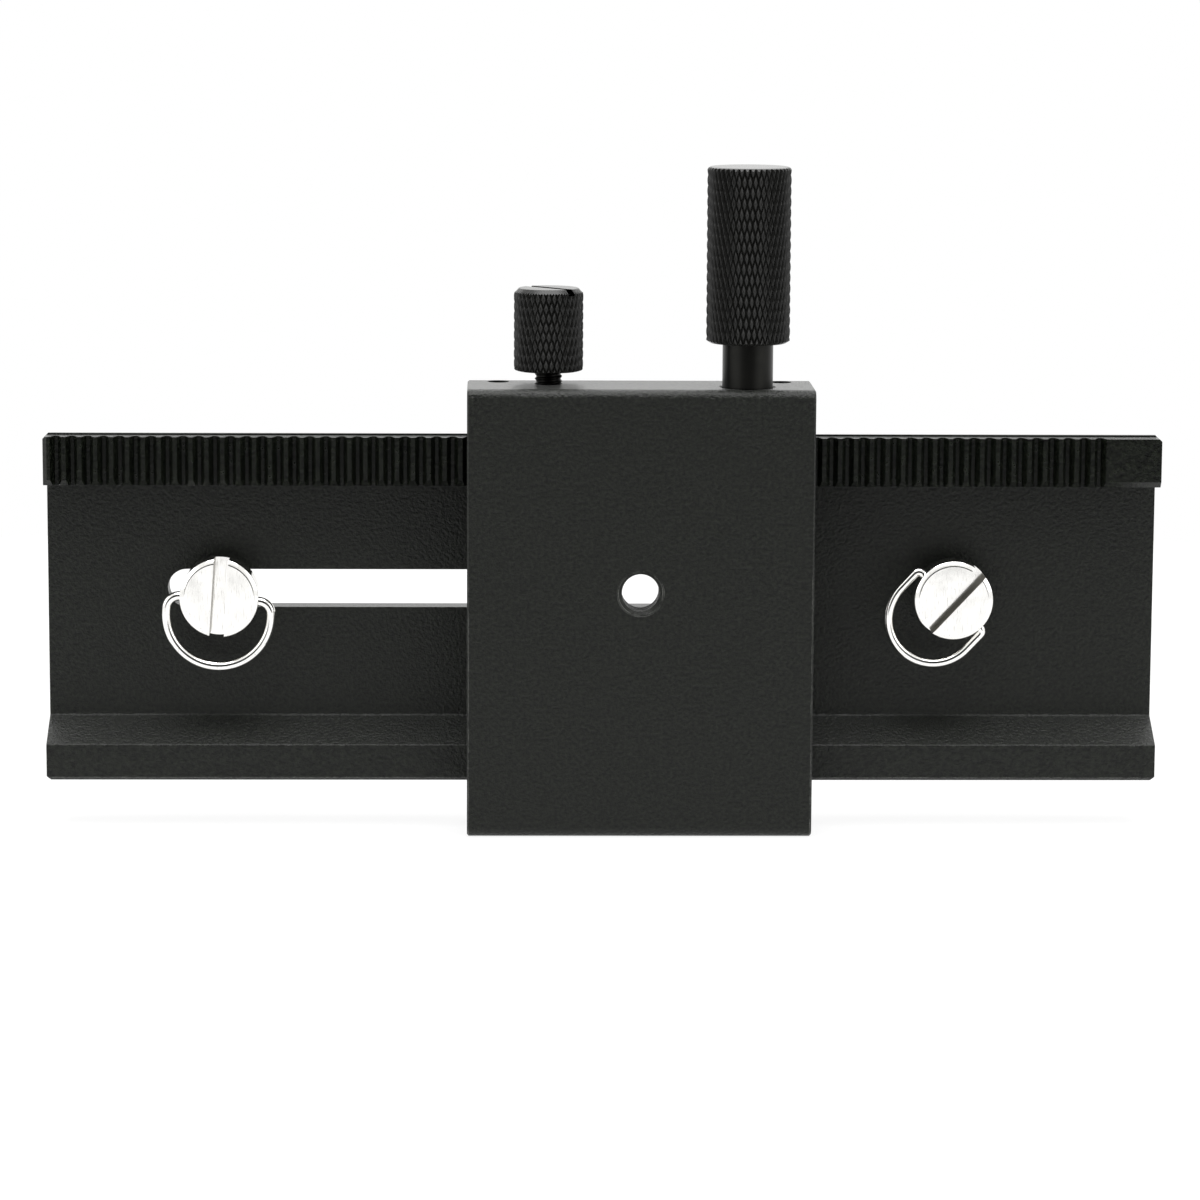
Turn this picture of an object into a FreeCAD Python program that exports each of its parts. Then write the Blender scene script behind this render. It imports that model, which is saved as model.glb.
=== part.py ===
import FreeCAD, Part

import math
import os

# Macro focusing rail, in millimetres.
# X runs along the rail, +Z is up with the rail on edge, and -Y is the side of the tripod block.
# Z = 0 is the lower face of the carriage, X = 0 the middle of the rail, Y = 0 the middle of the whole depth.
# "Height" below means the distance in front of the rail's web, towards the tripod side.

# ---- rail ----
rail_length = 160.0
rail_width = 50.0
web_thickness = 3.5
rack_height = 6.35            # rack strip and lower ledge stand this far in front of the web
rack_width = 7.3
rack_lower_chamfer = 0.85
rack_top_step = 0.25          # the top of the toothed strip lies this far below the rib behind it
rack_step_height = 3.5        # height of the front of that rib
ledge_edge_chamfer = 0.45
rack_end_chamfer = 0.6        # at the toothed end of the rack
rail_corner_chamfer = 0.6     # at the four corners of the rail
flank_height = 2.9            # the 45 degree dovetail flank runs from the web's front up to this height
ledge_width = 5.2
ledge_slope_width = 3.3
ledge_foot_radius = 0.5       # rounding where the ledge's slope meets the web
ledge_crest_radius = 0.4      # rounding where the slope meets the ledge's front
rail_back_chamfer = 0.5
slot_width = 5.5
slot_above_middle = 2.1
slot_end_margin = 20.0        # from the rail's left end to the centre of the slot's round end
slot_centres = 77.0           # between the centres of the slot's two round ends
screw_hole_margin = 29.55     # from the rail's right end to the middle of the right camera screw's hole
screw_hole_below_slot = 0.2   # the middle of that hole lies this far below the middle of the slot

# ---- rack and pinion ----
module = 0.72
pinion_teeth = 8
pressure_angle = math.radians(20.0)
rack_plain_end = 8.0
rack_first_land = 0.8         # least land left beside the first gap at the toothed end
mesh_gap = 0.10               # the pinion's axis is this much further out than perfect mesh
mesh_backlash = 0.10
hob_steps = 13

# ---- carriage ----
carriage_width = 49.3
carriage_centre_x = 5.2
carriage_above_rail = 7.4
carriage_below_rail = 6.9
carriage_front_height = 13.6
carriage_back_height = 0.15
carriage_edge_radius = 1.4
carriage_back_chamfer = 0.3
carriage_end_chamfer = 0.25
front_wall = 5.6              # wall in front of the channel for the screw heads
slide_clearance = 0.10
channel_margin = 0.4          # the channel for the screw heads stops this far short of rack and ledge
tripod_bore_radius = 3.2      # outer radius of a 1/4"-20 thread, with a little room
tripod_mouth_chamfer = 0.15
tripod_above_middle = 3.4

# ---- gib and its screws ----
gib_thickness = 1.5
gib_end_gap = 0.5
gib_clearance = 0.05
gib_screw_radius = 1.5
gib_screw_spacing = 40.5
gib_screw_height = 2.1
gib_screw_recess = 1.0
gib_screw_tip_radius = 0.4
gib_screw_clearance = 0.06
thread_clearance = 0.05

# ---- focus drive ----
focus_x = 20.35
shaft_radius = 3.6
bush_wall = 0.55
bush_length = 6.0
bearing_clearance = 0.05
shaft_hole_lip = 1.0          # the top of the block keeps this much metal above the bush
shaft_mouth_chamfer = 0.35
pinion_chamber_clearance = 0.3
pinion_end_gap = 0.10
thrust_washer_thickness = 0.4
thrust_washer_radius = 3.4
journal_radius = 1.9
journal_bearing_length = 4.0
ring_groove_radius = 1.5
retaining_ring_radius = 2.8
retaining_ring_thickness = 0.6
retaining_ring_mouth = 2.2
retaining_ring_gap = 0.10
ring_pocket_depth = 2.0
journal_tail = 0.7
knob_gap_above_block = 6.35
knob_radius = 5.95
knob_length = 24.85
knob_chamfer = 0.45
knob_bore_radius = 3.05
knob_bore_depth = 18.0
shaft_top_radius = 3.0
shaft_top_gap = 0.5
set_screw_radius = 1.5
set_screw_above_knob_foot = 4.5
set_screw_recess = 0.4

# ---- lock screw ----
lock_x = -7.9
lock_height = 4.9
lock_stud_radius = 1.95
lock_hole_radius = 2.0
lock_gap_above_block = 1.9
lock_knob_radius = 4.95
lock_knob_length = 11.8
lock_knob_top_chamfer = 0.5
lock_knob_foot_chamfer = 0.3
lock_knob_bore_depth = 8.0
lock_slot_width = 1.2
lock_slot_depth = 0.9
lock_slot_angle = -48.0
lock_pad_radius = 1.5
lock_pad_thickness = 1.6
lock_pad_gap = 0.05

# ---- camera screws ----
left_screw_along_slot = 5.0   # from the centre of the slot's left end to the left screw
left_screw_turn = -4.0        # coin slot's lean from upright, in degrees about the axis towards the front
right_screw_turn = -43.0
head_radius = 5.65
head_thickness = 4.4
head_chamfer_width = 0.65     # the flat bevel round the face, measured across the face
head_chamfer_depth = 0.35
coin_slot_width = 2.1
coin_slot_depth = 2.85
neck_radius = 2.2
neck_hang_clearance = 0.05    # the neck hangs this far short of the slot's lower edge
thread_radius = 3.175         # 1/4"-20
thread_length = 3.9
thread_end_chamfer = 0.5
screw_float = 1.6             # the washer's way to the web when the screw is tightened
screw_washer_thickness = 1.0
screw_washer_radius = 5.0
screw_washer_clearance = 0.15
screw_washer_gap = 0.05
thread_back_gap = 0.05
wire_radius = 0.68
ring_pivot_below_face = 2.2
ring_pivot_drop = 0.35        # the pivot holes are drilled this far below the middle of the head
left_ring_radius = 7.5
left_ring_drop = 2.35         # centre of the ring's half circle below its pivots
right_ring_radius = 6.5       # the two rings are bent by hand and differ
right_ring_drop = 3.6
ring_pin_length = 1.8         # length of a pin inside the head
ring_pin_stand = 0.05         # the wire starts to bend this far outside the head
pivot_clearance = 0.05

# ---- derived places ----
rail_half = rail_width / 2
rail_z = carriage_below_rail + rail_half
carriage_top_z = rail_z + rail_half + carriage_above_rail
slot_z = rail_z + slot_above_middle
slot_radius = slot_width / 2
slot_left_centre = slot_end_margin - rail_length / 2
slot_right_centre = slot_left_centre + slot_centres
left_screw_x = slot_left_centre + left_screw_along_slot
right_screw_x = rail_length / 2 - screw_hole_margin
rack_pitch = math.pi * module
rack_land = rack_pitch / 2 - 2 * module * math.tan(pressure_angle)
rack_gap_tip = rack_pitch - rack_land
rack_gap_depth = 2.25 * module
pitch_radius = module * pinion_teeth / 2
pinion_height = rack_height - module + pitch_radius + mesh_gap
rack_foot = rail_half - rack_width
channel_height = carriage_front_height - front_wall
land_height = rack_height + slide_clearance
carriage_x0 = carriage_centre_x - carriage_width / 2
carriage_x1 = carriage_centre_x + carriage_width / 2
screw_hang = slot_radius - neck_radius - neck_hang_clearance
left_screw_z = slot_z - screw_hang
right_screw_z = left_screw_z - screw_hole_below_slot
head_back_height = screw_float + screw_washer_thickness
head_face_height = head_back_height + head_thickness
thread_start_depth = web_thickness + thread_back_gap
screw_tip_depth = thread_start_depth + thread_length
ring_height = head_face_height - ring_pivot_below_face
web_y = (pinion_height + knob_radius - screw_tip_depth) / 2
flank_step = math.sqrt(2.0)   # a gap across a 45 degree face is this many times wider along Z


def y_at(height):
    return web_y - height


def prism_along_x(outline, x0, x1):
    """Extrudes an outline of (height, z) points from x0 to x1."""
    points = [FreeCAD.Vector(x0, y_at(height), z) for height, z in outline]
    points.append(points[0])
    face = Part.Face(Part.makePolygon(points))
    return face.extrude(FreeCAD.Vector(x1 - x0, 0, 0))


def post(radius, x, height, z0, z1):
    """A cylinder along Z from z0 to z1."""
    return Part.makeCylinder(radius, z1 - z0, FreeCAD.Vector(x, y_at(height), z0))


def cone_post(radius0, radius1, x, height, z0, z1):
    """A cone along Z whose radius goes from radius0 at z0 to radius1 at z1."""
    return Part.makeCone(radius0, radius1, z1 - z0, FreeCAD.Vector(x, y_at(height), z0))


def peg(radius, x, z, height0, height1):
    """A cylinder along Y from height0 forward to height1."""
    return Part.makeCylinder(radius, height1 - height0, FreeCAD.Vector(x, y_at(height0), z),
                             FreeCAD.Vector(0, -1, 0))


def cone_peg(radius0, radius1, x, z, height0, height1):
    """A cone along Y whose radius goes from radius0 at height0 to radius1 at height1."""
    return Part.makeCone(radius0, radius1, height1 - height0, FreeCAD.Vector(x, y_at(height0), z),
                         FreeCAD.Vector(0, -1, 0))


def hexagon_prism(across_flats, depth, base, direction):
    """A hexagonal prism that starts at base and runs along direction."""
    corner = across_flats / math.sqrt(3.0)
    points = []
    for step in range(7):
        angle = math.radians(60.0 * step)
        points.append(FreeCAD.Vector(corner * math.cos(angle), corner * math.sin(angle), 0))
    prism = Part.Face(Part.makePolygon(points)).extrude(FreeCAD.Vector(0, 0, depth))
    prism.Placement = FreeCAD.Placement(base, FreeCAD.Rotation(FreeCAD.Vector(0, 0, 1), direction))
    return prism


# ---- rail ----

def rail_outline():
    back = -web_thickness
    side = rail_half - flank_height
    front = rack_height
    upper = [
        (front, rack_foot + rack_lower_chamfer),
        (front, rail_half - rack_top_step),
        (rack_step_height, rail_half - rack_top_step),
        (rack_step_height, rail_half),
        (flank_height, rail_half),
        (0.0, side),
        (back + rail_back_chamfer, side),
        (back, side - rail_back_chamfer),
    ]
    lower = [
        (back, -side + rail_back_chamfer),
        (back + rail_back_chamfer, -side),
        (0.0, -side),
        (flank_height, -rail_half),
        (front - ledge_edge_chamfer, -rail_half),
        (front, -rail_half + ledge_edge_chamfer),
        (front, -rail_half + ledge_width),
        (0.0, -rail_half + ledge_width + ledge_slope_width),
        (0.0, rack_foot),
        (front - rack_lower_chamfer, rack_foot),
    ]
    return [(height, rail_z + z) for height, z in upper + lower]


def upright_prism(corners, z0, z1):
    """Extrudes an outline of (x, height) points from z0 to z1."""
    points = [FreeCAD.Vector(x, y_at(height), z0) for x, height in corners]
    points.append(points[0])
    return Part.Face(Part.makePolygon(points)).extrude(FreeCAD.Vector(0, 0, z1 - z0))


def rack_gap_places():
    """X of the middle of each tooth gap, from the plain end to the toothed end."""
    first = rail_length / 2 - rack_plain_end - rack_gap_tip / 2
    toothed = rail_length - rack_plain_end + rack_land - rack_first_land
    count = int(toothed / rack_pitch)
    return [first - number * rack_pitch for number in range(count)]


def rack_gap(x):
    """The prism that is milled out between two teeth of the rack."""
    tip = rack_gap_tip / 2
    root = tip - rack_gap_depth * math.tan(pressure_angle)
    over = 0.5
    flare = tip + over * math.tan(pressure_angle)
    z0 = rail_z + rack_foot - over
    z1 = rail_z + rail_half + over
    outline = [(flare, rack_height + over), (-flare, rack_height + over),
               (-root, rack_height - rack_gap_depth), (root, rack_height - rack_gap_depth)]
    return upright_prism([(x + dx, height) for dx, height in outline], z0, z1)


def rack_end_cut():
    """The prism that bevels the upright front edge at the toothed end of the rack."""
    end = -rail_length / 2
    over = 0.5
    reach = rack_end_chamfer + over
    corners = [(end - over, rack_height + over), (end + reach, rack_height + over),
               (end - over, rack_height - reach)]
    return upright_prism(corners, rail_z + rack_foot - over, rail_z + rail_half + over)


def rail_corner_cut(end, edge):
    """The prism that cuts one corner of the rail. end is -1 for left, and edge is -1 for the foot."""
    over = 0.5
    reach = rail_corner_chamfer + over
    x = end * rail_length / 2
    z = rail_z + edge * rail_half
    corners = [(x + end * over, z + edge * over), (x - end * reach, z + edge * over),
               (x + end * over, z - edge * reach)]
    points = [FreeCAD.Vector(corner_x, y_at(rack_height + over), corner_z) for corner_x, corner_z in corners]
    points.append(points[0])
    depth = rack_height + web_thickness + 2 * over
    return Part.Face(Part.makePolygon(points)).extrude(FreeCAD.Vector(0, depth, 0))


def round_ledge(rail):
    """Rounds the foot and the crest of the ledge's slope."""
    crest_z = rail_z - rail_half + ledge_width
    foot_z = crest_z + ledge_slope_width
    for radius, height, z in ((ledge_foot_radius, 0.0, foot_z), (ledge_crest_radius, rack_height, crest_z)):
        edges = []
        for edge in rail.Edges:
            box = edge.BoundBox
            along_x = box.YLength < 0.01 and box.ZLength < 0.01
            if along_x and abs(box.YMin - y_at(height)) < 0.01 and abs(box.ZMin - z) < 0.01:
                edges.append(edge)
        rail = rail.makeFillet(radius, edges)
    return rail


def make_rail():
    rail = prism_along_x(rail_outline(), -rail_length / 2, rail_length / 2)
    rail = round_ledge(rail)
    over = 1.0
    back = -web_thickness - over
    slot_length = slot_right_centre - slot_left_centre
    slot = Part.makeBox(slot_length, web_thickness + 2 * over, slot_width,
                        FreeCAD.Vector(slot_left_centre, y_at(over), slot_z - slot_radius))
    slot = slot.fuse([peg(slot_radius, slot_left_centre, slot_z, back, over),
                      peg(slot_radius, slot_right_centre, slot_z, back, over)])
    hole = peg(slot_radius, right_screw_x, slot_z - screw_hole_below_slot, back, over)
    corners = [rail_corner_cut(end, edge) for end in (-1, 1) for edge in (-1, 1)]
    gaps = [rack_gap(x) for x in rack_gap_places()]
    return rail.cut([slot, hole, rack_end_cut()] + corners).cut(gaps)


# ---- carriage ----

def flank_z(height, gap):
    """Z, above the rail's middle, of a face parallel to the dovetail flank and gap away from it."""
    return rail_half - flank_height + height + gap * flank_step


def gib_pocket_gap():
    return slide_clearance + gib_thickness + gib_clearance


def carriage_outline():
    top = rail_half + carriage_above_rail
    bottom = -rail_half - carriage_below_rail
    back = carriage_back_height
    side = rail_half + slide_clearance
    channel_top = rack_foot - channel_margin
    channel_foot = -rail_half + ledge_width + channel_margin
    pocket_end = flank_height - gib_clearance
    flank_end = side - flank_z(0.0, slide_clearance)
    upper = [
        (carriage_front_height, top),
        (back + carriage_back_chamfer, top),
        (back, top - carriage_back_chamfer),
        (back, flank_z(back, gib_pocket_gap())),
        (pocket_end, flank_z(pocket_end, gib_pocket_gap())),
        (pocket_end, side),
        (land_height, side),
        (land_height, channel_top),
        (channel_height, channel_top),
    ]
    lower = [
        (channel_height, channel_foot),
        (land_height, channel_foot),
        (land_height, -side),
        (flank_end, -side),
        (back, -flank_z(back, slide_clearance)),
        (back, bottom + carriage_back_chamfer),
        (back + carriage_back_chamfer, bottom),
        (carriage_front_height, bottom),
    ]
    return [(height, rail_z + z) for height, z in upper + lower]


def round_front_edges(block):
    """Rounds the two long front edges of the block, then bevels the outer edges of its two ends."""
    front = y_at(carriage_front_height)

    def long_front_edge(edge):
        box = edge.BoundBox
        return box.XLength > carriage_width / 2 and abs(box.YMin - front) < 0.01

    block = block.makeFillet(carriage_edge_radius, [edge for edge in block.Edges if long_front_edge(edge)])

    def outer_end_edge(edge):
        box = edge.BoundBox
        on_front = abs(box.YMax - front) < 0.01
        on_top = abs(box.ZMin - carriage_top_z) < 0.01
        on_foot = abs(box.ZMax) < 0.01
        in_round = box.YLength > 0.01 and box.YMax < front + carriage_edge_radius + 0.01
        return box.XLength < 0.01 and (on_front or on_top or on_foot or in_round)

    return block.makeChamfer(carriage_end_chamfer, [edge for edge in block.Edges if outer_end_edge(edge)])


def shaft_levels():
    """Z of each step of the pinion shaft and of what carries it, from the top down."""
    pinion_top = rail_z + rail_half + slide_clearance
    pinion_foot = rail_z + rack_foot - pinion_end_gap
    washer_foot = pinion_foot - pinion_end_gap - thrust_washer_thickness
    chamber_floor = washer_foot - retaining_ring_gap / 2
    bearing_foot = chamber_floor - journal_bearing_length
    ring_top = bearing_foot - retaining_ring_gap
    return {
        "bush_top": carriage_top_z - shaft_hole_lip - bearing_clearance,
        "pinion_top": pinion_top,
        "pinion_foot": pinion_foot,
        "washer_foot": washer_foot,
        "chamber_floor": chamber_floor,
        "bearing_foot": bearing_foot,
        "ring_top": ring_top,
        "ring_foot": ring_top - retaining_ring_thickness,
    }


def shaft_cuts():
    """Everything that is bored out of the block for the pinion shaft."""
    level = shaft_levels()
    bush_radius = shaft_radius + bearing_clearance + bush_wall
    hole_radius = shaft_radius + 2 * bearing_clearance
    over = 0.5
    mouth = carriage_top_z - shaft_mouth_chamfer
    return [
        post(hole_radius, focus_x, pinion_height, level["pinion_top"], carriage_top_z + over),
        cone_post(hole_radius, hole_radius + shaft_mouth_chamfer, focus_x, pinion_height, mouth,
                  carriage_top_z),
        post(bush_radius, focus_x, pinion_height, level["pinion_top"] - over, carriage_top_z - shaft_hole_lip),
        post(shaft_radius + pinion_chamber_clearance, focus_x, pinion_height, level["chamber_floor"],
             level["pinion_top"]),
        post(journal_radius + bearing_clearance, focus_x, pinion_height, level["bearing_foot"] - over,
             level["chamber_floor"] + over),
        post(retaining_ring_radius + pinion_chamber_clearance, focus_x, pinion_height,
             level["bearing_foot"] - ring_pocket_depth, level["bearing_foot"]),
    ]


def tripod_cuts():
    z = rail_z + tripod_above_middle
    over = 0.5
    front = carriage_front_height
    return [
        peg(tripod_bore_radius, carriage_centre_x, z, channel_height - over, front + over),
        cone_peg(tripod_bore_radius, tripod_bore_radius + tripod_mouth_chamfer, carriage_centre_x, z,
                 front - tripod_mouth_chamfer, front),
    ]


def gib_screw_places():
    return [carriage_centre_x - gib_screw_spacing / 2, carriage_centre_x + gib_screw_spacing / 2]


def make_carriage():
    block = prism_along_x(carriage_outline(), carriage_x0, carriage_x1)
    block = round_front_edges(block)
    over = 0.5
    top = carriage_top_z + over
    side = rail_z + rail_half
    cuts = shaft_cuts() + tripod_cuts()
    cuts.append(post(lock_hole_radius, lock_x, lock_height, side, top))
    for x in gib_screw_places():
        cuts.append(post(gib_screw_radius + thread_clearance, x, gib_screw_height, side, top))
    return block.cut(cuts)


# ---- gib ----

def make_gib():
    low = carriage_back_height + gib_clearance
    high = flank_height - 3 * gib_clearance
    inner = slide_clearance
    outer = slide_clearance + gib_thickness
    outline = [(low, flank_z(low, inner)), (high, flank_z(high, inner)),
               (high, flank_z(high, outer)), (low, flank_z(low, outer))]
    outline = [(height, rail_z + z) for height, z in outline]
    return prism_along_x(outline, carriage_x0 + gib_end_gap, carriage_x1 - gib_end_gap)


def make_gib_screw(x):
    """A cone-point grub screw that bears on the sloped outer face of the gib."""
    gib_face = rail_z + flank_z(gib_screw_height, slide_clearance + gib_thickness)
    tip = gib_face + gib_screw_tip_radius + gib_screw_clearance * flank_step
    shoulder = tip + gib_screw_radius - gib_screw_tip_radius
    top = carriage_top_z - gib_screw_recess
    screw = post(gib_screw_radius, x, gib_screw_height, shoulder, top)
    screw = screw.fuse(cone_post(gib_screw_tip_radius, gib_screw_radius, x, gib_screw_height, tip, shoulder))
    socket = hexagon_prism(gib_screw_radius, gib_screw_radius, FreeCAD.Vector(x, y_at(gib_screw_height), top),
                           FreeCAD.Vector(0, 0, -1))
    return screw.cut(socket)


# ---- focus drive ----

def pinion_space(length):
    """One tooth space of this length, as the path of a rack tooth that rolls past the blank."""
    reach = 1.25 * module
    stand = module + mesh_gap + 0.5
    quarter = rack_pitch / 4 + mesh_backlash / 2
    tip = quarter - reach * math.tan(pressure_angle)
    foot = quarter + stand * math.tan(pressure_angle)
    tooth = [(-foot, pitch_radius + stand), (foot, pitch_radius + stand),
             (tip, pitch_radius - reach), (-tip, pitch_radius - reach)]
    roll_end = 1.3 * rack_pitch / pitch_radius
    sweep = None
    for step in range(hob_steps):
        roll = roll_end * (2.0 * step / (hob_steps - 1) - 1.0)
        shift = -pitch_radius * roll
        points = [FreeCAD.Vector(x + shift, y, 0) for x, y in tooth]
        points.append(points[0])
        prism = Part.Face(Part.makePolygon(points)).extrude(FreeCAD.Vector(0, 0, length))
        prism.rotate(FreeCAD.Vector(0, 0, 0), FreeCAD.Vector(0, 0, 1), -math.degrees(roll))
        sweep = prism if sweep is None else sweep.fuse(prism)
    return sweep.removeSplitter()


def pinion_phase():
    """Turn of the pinion, in degrees about Z, that puts a tooth into the rack gap beside it."""
    nearest = min(rack_gap_places(), key=lambda place: abs(place - focus_x))
    return -math.degrees((nearest - focus_x) / pitch_radius)


def make_pinion_teeth(z0, z1):
    """The toothed length of the shaft; its tips are as wide as the shaft."""
    length = z1 - z0
    space = pinion_space(length)
    teeth = Part.makeCylinder(shaft_radius, length)
    tooth_angle = 360.0 / pinion_teeth
    for number in range(pinion_teeth):
        cutter = space.copy()
        cutter.rotate(FreeCAD.Vector(0, 0, 0), FreeCAD.Vector(0, 0, 1),
                      pinion_phase() + tooth_angle * (number + 0.5))
        teeth = teeth.cut(cutter)
    teeth.translate(FreeCAD.Vector(focus_x, y_at(pinion_height), z0))
    return teeth


def make_pinion_shaft():
    level = shaft_levels()
    knob_foot = carriage_top_z + knob_gap_above_block
    shaft_end = level["ring_foot"] - journal_tail
    shaft = post(shaft_radius, focus_x, pinion_height, level["pinion_top"], knob_foot)
    top = post(shaft_top_radius, focus_x, pinion_height, knob_foot, knob_foot + knob_bore_depth - shaft_top_gap)
    teeth = make_pinion_teeth(level["pinion_foot"], level["pinion_top"])
    journal = post(journal_radius, focus_x, pinion_height, level["ring_top"], level["pinion_foot"])
    groove = post(ring_groove_radius, focus_x, pinion_height, level["ring_foot"], level["ring_top"])
    tail = post(journal_radius, focus_x, pinion_height, shaft_end, level["ring_foot"])
    return shaft.fuse([top, teeth, journal, groove, tail])


def make_bush():
    level = shaft_levels()
    z0 = level["bush_top"] - bush_length
    inner = shaft_radius + bearing_clearance
    outer = inner + bush_wall - bearing_clearance / 2
    sleeve = post(outer, focus_x, pinion_height, z0, level["bush_top"])
    return sleeve.cut(post(inner, focus_x, pinion_height, z0, level["bush_top"]))


def make_thrust_washer():
    level = shaft_levels()
    z0 = level["washer_foot"]
    z1 = z0 + thrust_washer_thickness
    disc = post(thrust_washer_radius, focus_x, pinion_height, z0, z1)
    return disc.cut(post(journal_radius + bearing_clearance, focus_x, pinion_height, z0, z1))


def make_retaining_ring():
    """A C-shaped clip in the groove of the journal, open towards the rail."""
    level = shaft_levels()
    margin = retaining_ring_gap / 4
    z0 = level["ring_foot"] + margin
    z1 = level["ring_top"] - margin
    disc = post(retaining_ring_radius, focus_x, pinion_height, z0, z1)
    bore = post(ring_groove_radius + margin, focus_x, pinion_height, z0, z1)
    mouth = Part.makeBox(retaining_ring_mouth, retaining_ring_radius, z1 - z0,
                         FreeCAD.Vector(focus_x - retaining_ring_mouth / 2, y_at(pinion_height), z0))
    return disc.cut([bore, mouth])


def chamfered_post(radius, foot_chamfer, top_chamfer, x, height, z0, z1):
    """A cylinder along Z with a 45 degree bevel at its foot and at its top."""
    body = post(radius, x, height, z0 + foot_chamfer, z1 - top_chamfer)
    foot = cone_post(radius - foot_chamfer, radius, x, height, z0, z0 + foot_chamfer)
    top = cone_post(radius, radius - top_chamfer, x, height, z1 - top_chamfer, z1)
    return body.fuse([foot, top]).removeSplitter()


def set_screw_z():
    return carriage_top_z + knob_gap_above_block + set_screw_above_knob_foot


def make_focus_knob():
    z0 = carriage_top_z + knob_gap_above_block
    knob = chamfered_post(knob_radius, knob_chamfer, knob_chamfer, focus_x, pinion_height, z0, z0 + knob_length)
    bore = post(knob_bore_radius, focus_x, pinion_height, z0, z0 + knob_bore_depth)
    screw_hole = peg(set_screw_radius + thread_clearance, focus_x, set_screw_z(),
                     pinion_height - knob_radius - 1.0, pinion_height)
    return knob.cut([bore, screw_hole])


def make_set_screw():
    """The grub screw at the back of the focus knob; its inner end meets the shaft."""
    outer_end = pinion_height - knob_radius + set_screw_recess
    inner_end = pinion_height - knob_bore_radius
    screw = peg(set_screw_radius, focus_x, set_screw_z(), outer_end, inner_end)
    socket = hexagon_prism(set_screw_radius, set_screw_radius / 2,
                           FreeCAD.Vector(focus_x, y_at(outer_end), set_screw_z()), FreeCAD.Vector(0, -1, 0))
    return screw.cut(socket)


# ---- lock ----

def lock_pad_top():
    return rail_z + rail_half + lock_pad_gap + lock_pad_thickness


def make_lock_pad():
    z0 = rail_z + rail_half + lock_pad_gap
    return post(lock_pad_radius, lock_x, lock_height, z0, lock_pad_top())


def make_lock_stud():
    knob_foot = carriage_top_z + lock_gap_above_block
    z0 = lock_pad_top() + lock_pad_gap
    return chamfered_post(lock_stud_radius, lock_knob_foot_chamfer, lock_knob_foot_chamfer, lock_x, lock_height,
                          z0, knob_foot + lock_knob_bore_depth - lock_pad_gap)


def make_lock_knob():
    z0 = carriage_top_z + lock_gap_above_block
    z1 = z0 + lock_knob_length
    knob = chamfered_post(lock_knob_radius, lock_knob_foot_chamfer, lock_knob_top_chamfer, lock_x, lock_height,
                          z0, z1)
    bore = post(lock_hole_radius, lock_x, lock_height, z0, z0 + lock_knob_bore_depth)
    slot = Part.makeBox(3 * lock_knob_radius, lock_slot_width, 2 * lock_slot_depth,
                        FreeCAD.Vector(-1.5 * lock_knob_radius, -lock_slot_width / 2, -lock_slot_depth))
    slot.rotate(FreeCAD.Vector(0, 0, 0), FreeCAD.Vector(0, 0, 1), lock_slot_angle)
    slot.translate(FreeCAD.Vector(lock_x, y_at(lock_height), z1))
    return knob.cut([bore, slot])


# ---- camera screws ----

def turned(shape, x, z, turn):
    """Turns a screw part about its own axis, clockwise for a negative turn as seen from the front."""
    shape.rotate(FreeCAD.Vector(x, 0, z), FreeCAD.Vector(0, -1, 0), turn)
    return shape


def make_camera_screw(x, z, turn):
    face = head_face_height
    head = peg(head_radius, x, z, head_back_height, face - head_chamfer_depth)
    rim = cone_peg(head_radius, head_radius - head_chamfer_width, x, z, face - head_chamfer_depth, face)
    neck = peg(neck_radius, x, z, -thread_start_depth, head_back_height)
    thread = peg(thread_radius, x, z, -screw_tip_depth + thread_end_chamfer, -thread_start_depth)
    tip = cone_peg(thread_radius - thread_end_chamfer, thread_radius, x, z, -screw_tip_depth,
                   -screw_tip_depth + thread_end_chamfer)
    screw = head.fuse([rim, neck, thread, tip]).removeSplitter()
    coin_slot = Part.makeBox(coin_slot_width, 2 * coin_slot_depth, 3 * head_radius,
                             FreeCAD.Vector(x - coin_slot_width / 2, y_at(face) - coin_slot_depth,
                                            z - 1.5 * head_radius))
    pivot_radius = wire_radius + pivot_clearance
    pivot_depth = ring_pin_length + pivot_clearance
    pivots = []
    for side in (-1, 1):
        start = FreeCAD.Vector(x + side * (head_radius - pivot_depth), y_at(ring_height), z - ring_pivot_drop)
        pivots.append(Part.makeCylinder(pivot_radius, pivot_depth + 1.0, start, FreeCAD.Vector(side, 0, 0)))
    return turned(screw.cut([coin_slot] + pivots), x, z, turn)


def ring_path(x, z, radius, drop):
    """Centre line of the bent wire: pin, bend, side, half circle, side, bend, pin, all in one plane."""
    y = y_at(ring_height)
    pin_end = head_radius - ring_pin_length
    bend_start = head_radius + ring_pin_stand
    bend_radius = radius - bend_start
    bend_middle = bend_start + bend_radius * math.sin(math.pi / 4)
    bend_drop = bend_radius * (1.0 - math.cos(math.pi / 4))

    def point(dx, dz):
        return FreeCAD.Vector(x + dx, y, z - ring_pivot_drop + dz)

    edges = [
        Part.LineSegment(point(pin_end, 0.0), point(bend_start, 0.0)),
        Part.Arc(point(bend_start, 0.0), point(bend_middle, -bend_drop), point(radius, -bend_radius)),
        Part.LineSegment(point(radius, -bend_radius), point(radius, -drop)),
        Part.Arc(point(radius, -drop), point(0.0, -drop - radius), point(-radius, -drop)),
        Part.LineSegment(point(-radius, -drop), point(-radius, -bend_radius)),
        Part.Arc(point(-radius, -bend_radius), point(-bend_middle, -bend_drop), point(-bend_start, 0.0)),
        Part.LineSegment(point(-bend_start, 0.0), point(-pin_end, 0.0)),
    ]
    return Part.Wire([edge.toShape() for edge in edges])


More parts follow.
